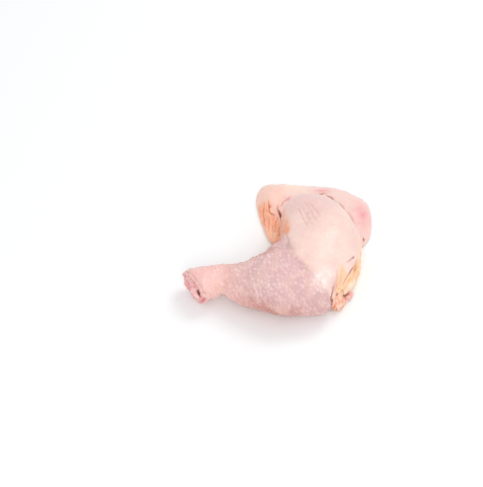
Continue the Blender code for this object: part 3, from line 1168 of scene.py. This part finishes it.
@dataclass(frozen=True)
class Pebbles:
    """The small humps that feather roots leave in the skin.

    Attributes:
        spacing: The least distance between two.
        height: How far the highest stand out.
        radius: How wide they are.
        slant: How far their rows lean towards the hock.
        stray: How much that differs between them.
        tallness: The least and the most of the height that one has.
        widths: The same for the radius.
        seed: The random pattern.
    """

    spacing: float = 2.7
    height: float = 1.0
    radius: float = 1.45
    slant: float = 0.45
    stray: float = 0.45
    tallness: Point2 = (0.25, 1.25)
    widths: Point2 = (0.7, 1.15)
    seed: int = 11

    def centres(self, points: np.ndarray, weight: np.ndarray) -> np.ndarray:
        """Picks well spaced points where the skin is pebbled.

        Args:
            points: The points of the skin.
            weight: How pebbled each is.

        Returns:
            The numbers of the picked points.
        """
        chance = np.random.default_rng(self.seed)
        order = chance.permutation(np.flatnonzero(weight > 0.1))
        cells: dict[tuple[int, int, int], list[tuple[float, float, float]]] = {}
        steps = [(x, y, z) for x in (-1, 0, 1) for y in (-1, 0, 1) for z in (-1, 0, 1)]
        limit = self.spacing**2
        picked = []
        for index, place in zip(order.tolist(), points[order].tolist()):
            x, y, z = place
            cell = (int(x // self.spacing), int(y // self.spacing), int(z // self.spacing))
            around = [(cell[0] + dx, cell[1] + dy, cell[2] + dz) for dx, dy, dz in steps]
            near = [other for key in around for other in cells.get(key, ())]
            if all((x - a) ** 2 + (y - b) ** 2 + (z - c) ** 2 > limit for a, b, c in near):
                cells.setdefault(cell, []).append((x, y, z))
                picked.append(index)
        return np.array(picked)

    def mask(self, points: np.ndarray, normals: np.ndarray, weight: np.ndarray) -> np.ndarray:
        """How high on a pebble each point is.

        Args:
            points: The points of the skin.
            normals: The way each faces.
            weight: How pebbled the skin is at each.

        Returns:
            0 between pebbles and about 1 on their tops.
        """
        picked = self.centres(points, weight)
        chance = np.random.default_rng(self.seed + 1)
        tallness = chance.uniform(*self.tallness, len(picked))
        radius = self.radius * chance.uniform(*self.widths, len(picked))
        tree = kdtree.KDTree(len(picked))
        for number, index in enumerate(picked):
            tree.insert(points[index], number)
        tree.balance()
        along_limb = np.array((1.0, 0.12, 0.0))
        slant = self.slant + chance.uniform(-self.stray, self.stray, (len(picked), 1))
        rows = np.cross(normals[picked], along_limb) - slant * along_limb
        rows /= np.linalg.norm(rows, axis=1)[:, None]
        stretch = 1.3 + 1.6 * np.clip(0.75 - normals[picked, 2], 0, 1)
        shown = np.flatnonzero(weight > 0.02)
        near = np.array([[found[1] for found in tree.find_n(points[index], 4)] for index in shown])
        bend = ripple(points[shown], 1.9, Pattern.PEBBLE_EDGES)[:, None] * np.array((0.5, -0.4, 0.5))
        bent = points[shown] + bend
        away = bent[:, None, :] - points[picked][near]
        along = (away * rows[near]).sum(axis=2)
        total = (away**2).sum(axis=2)
        across = np.sqrt(np.maximum(total - along**2, 0))
        long = along / (radius * stretch)[near]
        humps = tallness[near] * np.exp(-(long**2 + (across / radius[near]) ** 2))
        result = np.zeros(len(points))
        result[shown] = humps.max(axis=1)
        return result * weight


@dataclass
class LegSkin:
    """The drumstick, thigh and loose skin, all under one skin.

    Attributes:
        voxel: The mesh's edge length.
        evening: How many rounds take the frame solid's facets away.
        rim_ruffle: How uneven the skin's cut edge is at the hock.
        lip: How far its lower edge stands out.
        flesh: How far the flesh's broad unevenness reaches.
        string_depth: How deep the lines in the orange skin are.
        wrinkle_depth: How deep the thin wrinkles on the thigh are.
        droop: How the skin's upper edge hangs at the hock.
        droop_out: How far it stands out there.
        pleat: The distance between two pleats of that edge.
        pleat_height: How high they are.
        hock: The cut end.
        pebbles: The pebbles of the drumstick.
    """

    voxel: float = 0.75
    evening: int = 15
    rim_ruffle: float = 1.3
    lip: float = 2.2
    flesh: float = 0.7
    string_depth: float = 0.55
    wrinkle_depth: float = 0.65
    droop: Point3 = (-0.4, 0.0, -2.9)
    droop_out: float = 1.8
    pleat: float = 1.9
    pleat_height: float = 0.4
    hock: Hock = Hock()
    pebbles: Pebbles = Pebbles()

    def build(self, frame: dict[str, Any]) -> bpy.types.Object:
        """Models the skin over the frame's solid, and dresses it.

        Args:
            frame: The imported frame.

        Returns:
            The finished piece.
        """
        skin = Relief(frame["nodes"]["leg_quarter"], "leg_skin", self.voxel)
        self.even_out(skin)
        skin.open_underside(UNDERSIDE)
        self.lay_folds(skin)
        self.soften(skin)
        self.paint_zones(skin)
        self.raise_pebbles(skin)
        self.ruffle_hock(skin)
        skin.keep_above_table()
        return settle(skin, SkinFinish().build(), "leg_quarter")

    def even_out(self, skin: Relief) -> None:
        """Smooths the solid's facets away, less round the thin skin of the hock.

        Args:
            skin: The skin's mesh.
        """
        outward, reach = self.hock.measure(skin.points)
        near_cut = smooth_step((outward + 9) / 4) * (reach < HOCK_REACH)
        skin.relax(RELAX_SHARE * (1 - 0.94 * near_cut), self.evening)
        skin.keep_above_table()
        skin.shade_smooth()

    def lay_folds(self, skin: Relief) -> None:
        """Presses in the folds of skin.

        Args:
            skin: The skin's mesh.
        """
        flap = [Fold(route, 0.65, 1.1, FoldKind.CREASE, shade) for route, shade in FLAP_CREASES]
        streaked = [Fold(route, 0.6, 0.6, FoldKind.CREASE, 0.3) for route in TAG_STREAKS]
        thigh = [Fold(route, 0.65, 0.5, FoldKind.WRINKLE, 0.3) for route in FINE_WRINKLES]
        skin.fold((DEEP_CREASE, *flap))
        skin.fold((*BOUNDARY, *RIM_CREASES, *streaked), -0.5)
        skin.fold(tuple(thigh), -0.5, 0.3)
        skin.pull(TAG_PULLS + BELLY_PULLS)

    def soften(self, skin: Relief) -> None:
        """Adds the low unevenness of soft flesh.

        Args:
            skin: The skin's mesh.
        """
        flap = FLAP_SKIN.mask(skin.points)
        low = ripple(skin.points, 13.0, Pattern.SOFT_FLESH) * self.flesh
        fine = ripple(skin.points, 5.5, Pattern.FINE_FLESH) * (0.22 + 0.25 * flap)
        stringy = ORANGE_SKIN.mask(skin.points) * (1 - DRUM.mask(skin.points))
        strings = streaks(skin.points, (0.1, -1.0, 0.2), 2.2, 4.5, Pattern.SKIN_STRINGS) * stringy
        wrinkles = streaks(skin.points, (0.36, -0.93, 0.0), 1.8, 5.0, Pattern.THIN_WRINKLES)
        wrinkles *= WRINKLED.mask(skin.points)
        # Painted shade along the thin lines in the orange skin and the thigh's wrinkles.
        lines = np.maximum(strings * 0.26, wrinkles * 0.46)
        skin.masks["crease"] = np.maximum(skin.masks["crease"], lines)
        pressed = strings * self.string_depth + wrinkles * self.wrinkle_depth
        skin.raise_by((low + fine) * smooth_step(skin.points[:, 2] / 3) - pressed)

    def paint_zones(self, skin: Relief) -> None:
        """Works out where each colour of the skin lies.

        Args:
            skin: The skin's mesh.
        """
        points, masks = skin.points, skin.masks
        wander = ripple(points, 9.0, Pattern.ZONE_EDGES)[:, None] * np.array((1.6, 1.2, 0.0))
        strayed = points + wander
        for name, patch in PATCHES.items():
            masks[name] = patch.mask(strayed)
        for name, spots in SPOTTED.items():
            masks[name] = np.max([spot.mask(strayed) for spot in spots], axis=0)
        masks["drum"] = DRUM.mask(points + wander * 0.25)
        wall = np.clip(np.max([spot.mask(strayed) for spot in ORANGE_WALL], axis=0) * 1.35, 0, 1)
        shown = 1 - masks["drum"]
        low_skin = ORANGE_SKIN.mask(strayed) * smooth_step((43 - points[:, 2]) / 6)
        masks["orange"] = np.maximum(low_skin, wall) * shown
        masks["wall"] = wall
        masks["thigh_top"] = THIGH_TOP.mask(strayed) * smooth_step((points[:, 2] - 24) / 10)
        masks["thigh_top"] = np.maximum(masks["thigh_top"], THIGH_SIDE.mask(strayed) * 0.5)
        # Painted shade: darker towards the drumstick's bottom, less on its far side, by the knee and at the
        # hock.
        masks["low"] = smooth_step((38 - strayed[:, 2]) / 22) * smooth_step(0.6 - skin.normals[:, 1] * 2)
        masks["low"] *= 1 - 0.65 * smooth_step((points[:, 0] - 5) / 20)
        masks["low"] *= 1 - 0.6 * smooth_step((-28 - points[:, 0]) / 15)
        # Painted shade on the drumstick's side that faces away.
        masks["far"] = smooth_step((skin.normals[:, 1] - 0.25) / 0.4) * smooth_step((2 - points[:, 0]) / 8)
        masks["fat"] = FAT_EDGE.mask(points + wander * 0.2) * smooth_step((34 - points[:, 2]) / 2)
        masks["yellow"] = np.maximum(masks["yellow"], YELLOW_SKIN.mask(strayed)) * shown
        # Specks and painted shade on the thigh, and painted shade on the hock's edge.
        masks["speckled"] = np.maximum(SPECKLED.mask(strayed) * 0.15, HOCK_SHADED_EDGE.mask(points))
        # Dark marks and painted shadow, laid into the crease mask.
        for spot in DARK_MARKS_AND_SHADOWS:
            masks["crease"] = np.maximum(masks["crease"], spot.mask(points))
        outward, reach = self.hock.measure(points)
        masks["raw"] = smooth_step((1.06 - reach) / 0.1) * smooth_step((outward + 7) / 3)
        masks["lip"] = Spot(tuple(self.hock.at(2.5, -13.0, 0.0)), (9.0, 9.0, 6.0)).mask(points)
        masks["slit"] = slit_mask(points)

    def raise_pebbles(self, skin: Relief) -> None:
        """Raises the pebbles, high on the drumstick and faint elsewhere.

        Args:
            skin: The skin's mesh.
        """
        drum = skin.masks["drum"] * (1 - skin.masks["raw"]) * (1 - 0.75 * SMOOTH_TIP.mask(skin.points))
        speckled = SPECKLED.mask(skin.points)
        thigh = 0.14 + 0.14 * skin.masks["thigh_top"]
        weight = np.maximum(np.maximum(drum, speckled), thigh) * (skin.points[:, 2] > 0.3)
        ankle = 1 - 0.25 * skin.masks["ankle"]
        mask = self.pebbles.mask(skin.points, skin.normals, weight)
        skin.masks["pebble"] = mask
        skin.raise_by((mask - 0.3 * weight) * self.pebbles.height * ankle)

    def ruffle_hock(self, skin: Relief) -> None:
        """Makes the cut edge of the skin uneven, as a knife leaves it.

        Args:
            skin: The skin's mesh.
        """
        outward, reach = self.hock.measure(skin.points)
        near = smooth_step((outward + 3.2) / 2.4) * (reach > RIM_INSIDE) * (reach < 1.5)
        wave = ripple(skin.points, 6.5, Pattern.CUT_EDGE)
        wave += 0.4 * ripple(skin.points, 2.6, Pattern.CUT_NOTCHES)
        out = self.hock.axes()[2]
        skin.points += (near * wave * self.rim_ruffle)[:, None] * out
        skin.write()
        height = skin.points[:, 2] - self.hock.centre[2]
        droop = smooth_step((outward + 7) / 7) * smooth_step((height + 2) / 14) * (reach < HOCK_REACH)
        skin.points += droop[:, None] * (out * self.droop_out + np.array(self.droop))
        lip = smooth_step((outward + 6) / 6) * smooth_step((-height - 2) / 8) * (reach < HOCK_REACH)
        skin.points += lip[:, None] * out * self.lip
        skin.pull(HOCK_PULLS)
        upper = smooth_step((height - 4) / 5)
        edge = (reach > RIM_INSIDE) * (reach < HOCK_REACH)
        bunch = smooth_step((outward + 4.6) / 2.4) * edge * (0.1 + 0.9 * upper)
        pleats = np.sin(outward * 2 * np.pi / self.pleat + wave * 3.0)
        # Painted shade in the hollows of the pleats.
        skin.masks["crease"] = np.maximum(skin.masks["crease"], bunch * np.clip(-pleats, 0, 1) * 0.5)
        skin.raise_by(bunch * pleats * self.pleat_height)


@dataclass
class SmallPiece:
    """A small piece that keeps its solid's form, with finer relief.

    Attributes:
        node: The frame solid that it stands for.
        name: The piece's name.
        slot: The record's material slot; not used.
        voxel: The mesh's edge length.
        lobes: The height of its soft lobes.
        lobe_size: The distance between two lobes.
        finish: Its material.
        accents: Where its accent colour shows.
        marks: Small dark spots on it.
        strings: How deep the lines that hang down it are.
        pulls: Places that are shifted, with their shifts.
        base: Whether it lies on the table.
        evening: How many rounds take the frame solid's facets away.
    """

    node: str
    name: str
    slot: str
    voxel: float
    lobes: float
    lobe_size: float
    finish: TwoTone
    accents: tuple[Spot, ...]
    marks: tuple[Spot, ...] = ()
    strings: float = 0.0
    pulls: tuple[tuple[Spot, Point3], ...] = ()
    base: bool = True
    evening: int = 12

    def build(self, frame: dict[str, Any]) -> bpy.types.Object:
        """Models the piece over its solid, and dresses it.

        Args:
            frame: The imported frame.

        Returns:
            The finished piece.
        """
        piece = Relief(frame["nodes"][self.node], self.name, self.voxel)
        piece.relax(RELAX_SHARE, self.evening)
        piece.write()
        piece.shade_smooth()
        piece.pull(self.pulls)
        lines = streaks(piece.points, (0.1, -0.4, -1.0), 2.0, 4.0, Pattern.HANGING_LINES) * self.strings
        lobes = ripple(piece.points, self.lobe_size, Pattern.LOBES)
        lobes += 0.4 * ripple(piece.points, self.lobe_size / 2.5, Pattern.SMALL_LOBES)
        marks = sum((spot.mask(piece.points) for spot in self.marks), np.zeros(len(piece.points)))
        # Painted shade in the hollows between lobes and along the hanging lines.
        piece.masks["crease"] = smooth_step(-lobes * 1.6) * 0.45 + lines * 0.8
        # Dark marks join the slit's painted shade.
        dark = np.clip(marks, 0, 1) * 0.6
        piece.masks["slit"] = np.maximum(slit_mask(piece.points), dark)
        piece.masks["accent"] = np.max([spot.mask(piece.points) for spot in self.accents], axis=0)
        fade = smooth_step(piece.points[:, 2] / 2) if self.base else 1.0
        piece.raise_by((lobes * self.lobes - lines - piece.masks["slit"] * 1.4) * fade)
        if self.base:
            piece.keep_above_table()
        return settle(piece, self.finish.build(), self.node)


@dataclass
class HockTissue:
    """Cut muscle and sinews that fill the hock round the end of the bone.

    Attributes:
        hock: The cut end that they fill.
        lumps: Each lump's place across, up and out of the cut, and its half sizes.
        voxel: The mesh's edge length.
        evening: How many rounds blend the lumps.
    """

    hock: Hock = Hock()
    lumps: tuple[tuple[Point3, Point3], ...] = (
        ((-8.5, 2.0, -2.2), (5.4, 6.6, 3.0)),
        ((-2.0, 4.6, -2.2), (6.0, 5.6, 3.4)),
        ((-3.2, -3.4, -1.6), (5.6, 4.6, 3.0)),
        ((-9.0, -5.2, -2.6), (4.4, 4.0, 2.6)),
        ((1.6, -8.6, -1.8), (6.4, 3.2, 3.0)),
        ((1.5, -12.2, -1.0), (6.6, 2.4, 3.0)),
        ((8.0, 3.4, -2.8), (4.4, 4.4, 2.4)),
        ((-12.6, -1.0, -2.0), (2.0, 4.0, 2.4)),
        ((-4.0, 9.0, -2.2), (7.0, 2.6, 2.6)),
    )
    voxel: float = 0.4
    evening: int = 3

    def build(self) -> bpy.types.Object:
        """Models the lumps as one mass, and dresses it.

        Returns:
            The finished piece.
        """
        bm = bmesh.new()
        axes = self.hock.axes()
        for place, sizes in self.lumps:
            ball = bmesh.ops.create_icosphere(bm, subdivisions=3, radius=1.0)["verts"]
            centre = self.hock.at(*place)
            for vert in ball:
                spread = sum((axis * size * c for axis, size, c in zip(axes, sizes, vert.co)), np.zeros(3))
                vert.co = (centre + Vector(spread)) * MM
        mass = new_object("hock_tissue_rough", bm)
        piece = Relief(mass, "hock_tissue", self.voxel)
        bpy.data.objects.remove(mass)
        piece.relax(RELAX_SHARE, self.evening)
        piece.write()
        piece.shade_smooth()
        along = np.array(axes) * np.array((0.35, 1.0, 1.0))[:, None]
        fibre = ripple(piece.points @ along.T, 2.6, Pattern.FIBRES)
        # Painted shade on the tissue's shaded left side and in the hollows between fibres.
        shaded = Spot(tuple(self.hock.at(-10.5, -4.0, 0.0)), (5.0, 5.0, 8.0)).mask(piece.points)
        piece.masks["crease"] = np.maximum(smooth_step(-fibre * 1.5), shaded)
        pale = Spot(tuple(self.hock.at(2.0, -12.5, 0.0)), (7.0, 7.0, 4.0))
        piece.masks["accent"] = pale.mask(piece.points)
        piece.masks["slit"] = slit_mask(piece.points)
        piece.raise_by(fibre * 0.45)
        finish = TwoTone("cut_muscle", Tint.RAW, Tint.RAW_MAUVE, 3.5, 0.6, Tint.LIP, CUT_MUSCLE)
        return settle(piece, finish.build(), None)


SMALL_PIECES = (
    SmallPiece(
        node="shin_bone",
        name="bone_end",
        slot="bone",
        voxel=0.4,
        lobes=0.6,
        lobe_size=4.2,
        finish=TwoTone("wet_gristle", Tint.KNOB_LIGHT, Tint.KNOB, 4.0, 1.0, Tint.LIP, WET_BONE),
        accents=(Spot(tuple(Hock().at(2.5, -11.0, 2.0)), (6.0, 6.0, 3.5)),),
        base=False,
    ),
    SmallPiece(
        node="fat_fold",
        name="fat_lobe",
        slot="fat",
        voxel=0.45,
        lobes=0.7,
        lobe_size=5.5,
        finish=TwoTone("soft_fat", Tint.FAT, Tint.FAT_DEEP, 6.0, 0.7, Tint.FAT_PALE, SOFT_FAT),
        accents=(Spot((58.5, -44.5, 10.0), (9.0, 8.5, 9.5)),),
        strings=0.35,
    ),
    SmallPiece(
        node="fat_tag",
        name="fat_flap",
        slot="fat",
        voxel=0.35,
        lobes=0.7,
        lobe_size=3.6,
        finish=TwoTone("pink_fat", Tint.TAG, Tint.TAG_DEEP, 4.0, 0.6, Tint.YELLOW, SOFT_FAT),
        accents=(Spot((46.5, -51.0, 24.0), (10.0, 10.0, 9.0)),),
        marks=(
            Spot((46.3, -56.0, 17.5), (1.0, 2.2, 1.6)),
            Spot((44.0, -62.0, 2.6), (2.2, 2.6, 0.7)),
            Spot((46.2, -62.0, 4.6), (0.7, 2.6, 1.8)),
            Spot((48.4, -62.0, 2.2), (2.0, 2.6, 0.6)),
            Spot((50.6, -60.5, 4.0), (0.6, 2.6, 1.8)),
        ),
        strings=0.7,
        pulls=(
            (Spot((46.5, -51.0, 27.0), (9.0, 9.0, 9.0)), (0.0, 3.0, 0.0)),
            (Spot((43.5, -57.0, 8.0), (3.5, 8.0, 9.0)), (0.7, -0.5, 0.0)),
            (Spot((47.0, -60.0, 4.0), (6.0, 5.0, 6.0)), (0.0, -1.8, 0.0)),
            (Spot((52.0, -56.0, 5.0), (4.0, 4.0, 6.0)), (0.8, -1.0, 0.0)),
        ),
    ),
    SmallPiece(
        node="meat_scrap",
        name="meat_shred",
        slot="meat",
        voxel=0.35,
        lobes=0.8,
        lobe_size=2.6,
        finish=TwoTone("bare_meat", Tint.SCRAP, Tint.SCRAP_DARK, 3.2, 0.8, Tint.SCRAP_RED, WET_MEAT),
        accents=(Spot((55.0, -47.2, 8.0), (3.6, 2.6, 1.8)),),
        strings=0.3,
        pulls=((Spot((58.0, -45.0, 5.0), (5.0, 5.0, 6.0)), (2.0, -0.4, 0.0)),),
    ),
)


def settle(
    piece: Relief, material: bpy.types.Material, node: str | None
) -> bpy.types.Object:
    """Dresses a finished piece and fixes it to the body, in place of its solid.

    Args:
        piece: The piece.
        material: What it is dressed with.
        node: The frame solid that it stands for, if any.

    Returns:
        The piece's object.
    """
    obj = piece.obj
    piece.keep_masks()
    obj.data.materials.clear()
    obj.data.materials.append(material)
    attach(obj, ROOT)
    if node:
        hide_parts(node)
    return obj


@dataclass
class Studio:
    """The pale table, the soft light and the camera.

    Attributes:
        aim: Where the camera looks, in metres.
        distance: How far away it stands, in metres.
        elevation: How many degrees above the table it stands.
        pixel: The real size of a pixel of the picture at the aim, in metres.
        picture_height: The picture's long side in pixels.
        sensor: The camera's long side.
        table: The table's side, in metres.
        table_white: Its colour.
        table_roughness: How dull it is.
        table_shine: How strongly it reflects.
        sky: How bright the light from all round is.
        sky_white: Its colour.
        key_place: Where the main lamp hangs, in metres.
        key_size: The side of either lamp, in metres.
        key_power: Its power in watts.
        fill_place: Where the weaker lamp hangs, in metres.
        fill_power: Its power in watts.
    """

    aim: Point3 = (-0.03175, 0.0015, 0.0138)
    distance: float = 1.38
    elevation: float = 50.0
    pixel: float = 0.000842
    picture_height: int = 487
    sensor: float = 36.0
    table: float = 6.0
    table_white: Colour = (0.93, 0.95, 0.955, 1.0)
    table_roughness: float = 0.6
    table_shine: float = 0.2
    sky: float = 0.78
    sky_white: Colour = (1.0, 0.995, 1.0, 1.0)
    key_place: Point3 = (0.42, 0.5, 0.95)
    key_size: float = 0.55
    key_power: float = 3.4
    fill_place: Point3 = (0.02, -0.8, 0.7)
    fill_power: float = 2.8

    def build(self) -> None:
        """Sets up everything round the leg."""
        self.lay_table()
        self.light()
        self.stand_camera()
        bpy.context.scene.view_settings.view_transform = "Standard"

    def lay_table(self) -> None:
        """Lays a white table, which isn't part of the leg."""
        bm = bmesh.new()
        bmesh.ops.create_grid(bm, x_segments=1, y_segments=1, size=self.table / 2)
        table = new_object("table", bm)
        finish = Recipe("white_table")
        finish.shader.inputs["Base Color"].default_value = self.table_white
        finish.shader.inputs["Roughness"].default_value = self.table_roughness
        finish.shader.inputs["Specular IOR Level"].default_value = self.table_shine
        table.data.materials.append(finish.material)

    def light(self) -> None:
        """Lights the leg from all round, and from behind and to the right."""
        world = bpy.data.worlds.new("soft_room")
        world.use_nodes = True
        back = world.node_tree.nodes["Background"]
        back.inputs["Color"].default_value = self.sky_white
        back.inputs["Strength"].default_value = self.sky
        bpy.context.scene.world = world
        self.hang_lamp("key", self.key_place, self.key_power)
        self.hang_lamp("fill", self.fill_place, self.fill_power)

    def hang_lamp(self, name: str, place: Point3, power: float) -> None:
        """Hangs a soft square lamp that faces the leg.

        Args:
            name: The lamp's name.
            place: Where it hangs, in metres.
            power: Its power in watts.
        """
        lamp = bpy.data.lights.new(name, "AREA")
        lamp.shape = "SQUARE"
        lamp.size = self.key_size
        lamp.energy = power
        hung = bpy.data.objects.new(name, lamp)
        hung.location = place
        hung.rotation_euler = (Vector(self.aim) - hung.location).to_track_quat("-Z", "Y").to_euler()
        bpy.context.scene.collection.objects.link(hung)

    def stand_camera(self) -> None:
        """Stands the camera where the photograph was taken from."""
        lens = bpy.data.cameras.new("camera")
        lens.sensor_width = self.sensor
        lens.lens = self.sensor * self.distance / (self.picture_height * self.pixel)
        camera = bpy.data.objects.new("camera", lens)
        tilt = math.radians(self.elevation)
        back = Vector((0.0, -math.cos(tilt), math.sin(tilt)))
        camera.location = Vector(self.aim) + back * self.distance
        camera.rotation_euler = (-back).to_track_quat("-Z", "Y").to_euler()
        bpy.context.scene.collection.objects.link(camera)
        bpy.context.scene.camera = camera


def main() -> None:
    """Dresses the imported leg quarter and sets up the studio."""
    logging.basicConfig(level=logging.INFO, format="%(message)s")
    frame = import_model()
    made = [LegSkin().build(frame), HockTissue().build()]
    made += [piece.build(frame) for piece in SMALL_PIECES]
    for piece in made:
        log.info("%s: %d faces", piece.name, len(piece.data.polygons))
    Studio().build()


if __name__ == "__main__":
    main()
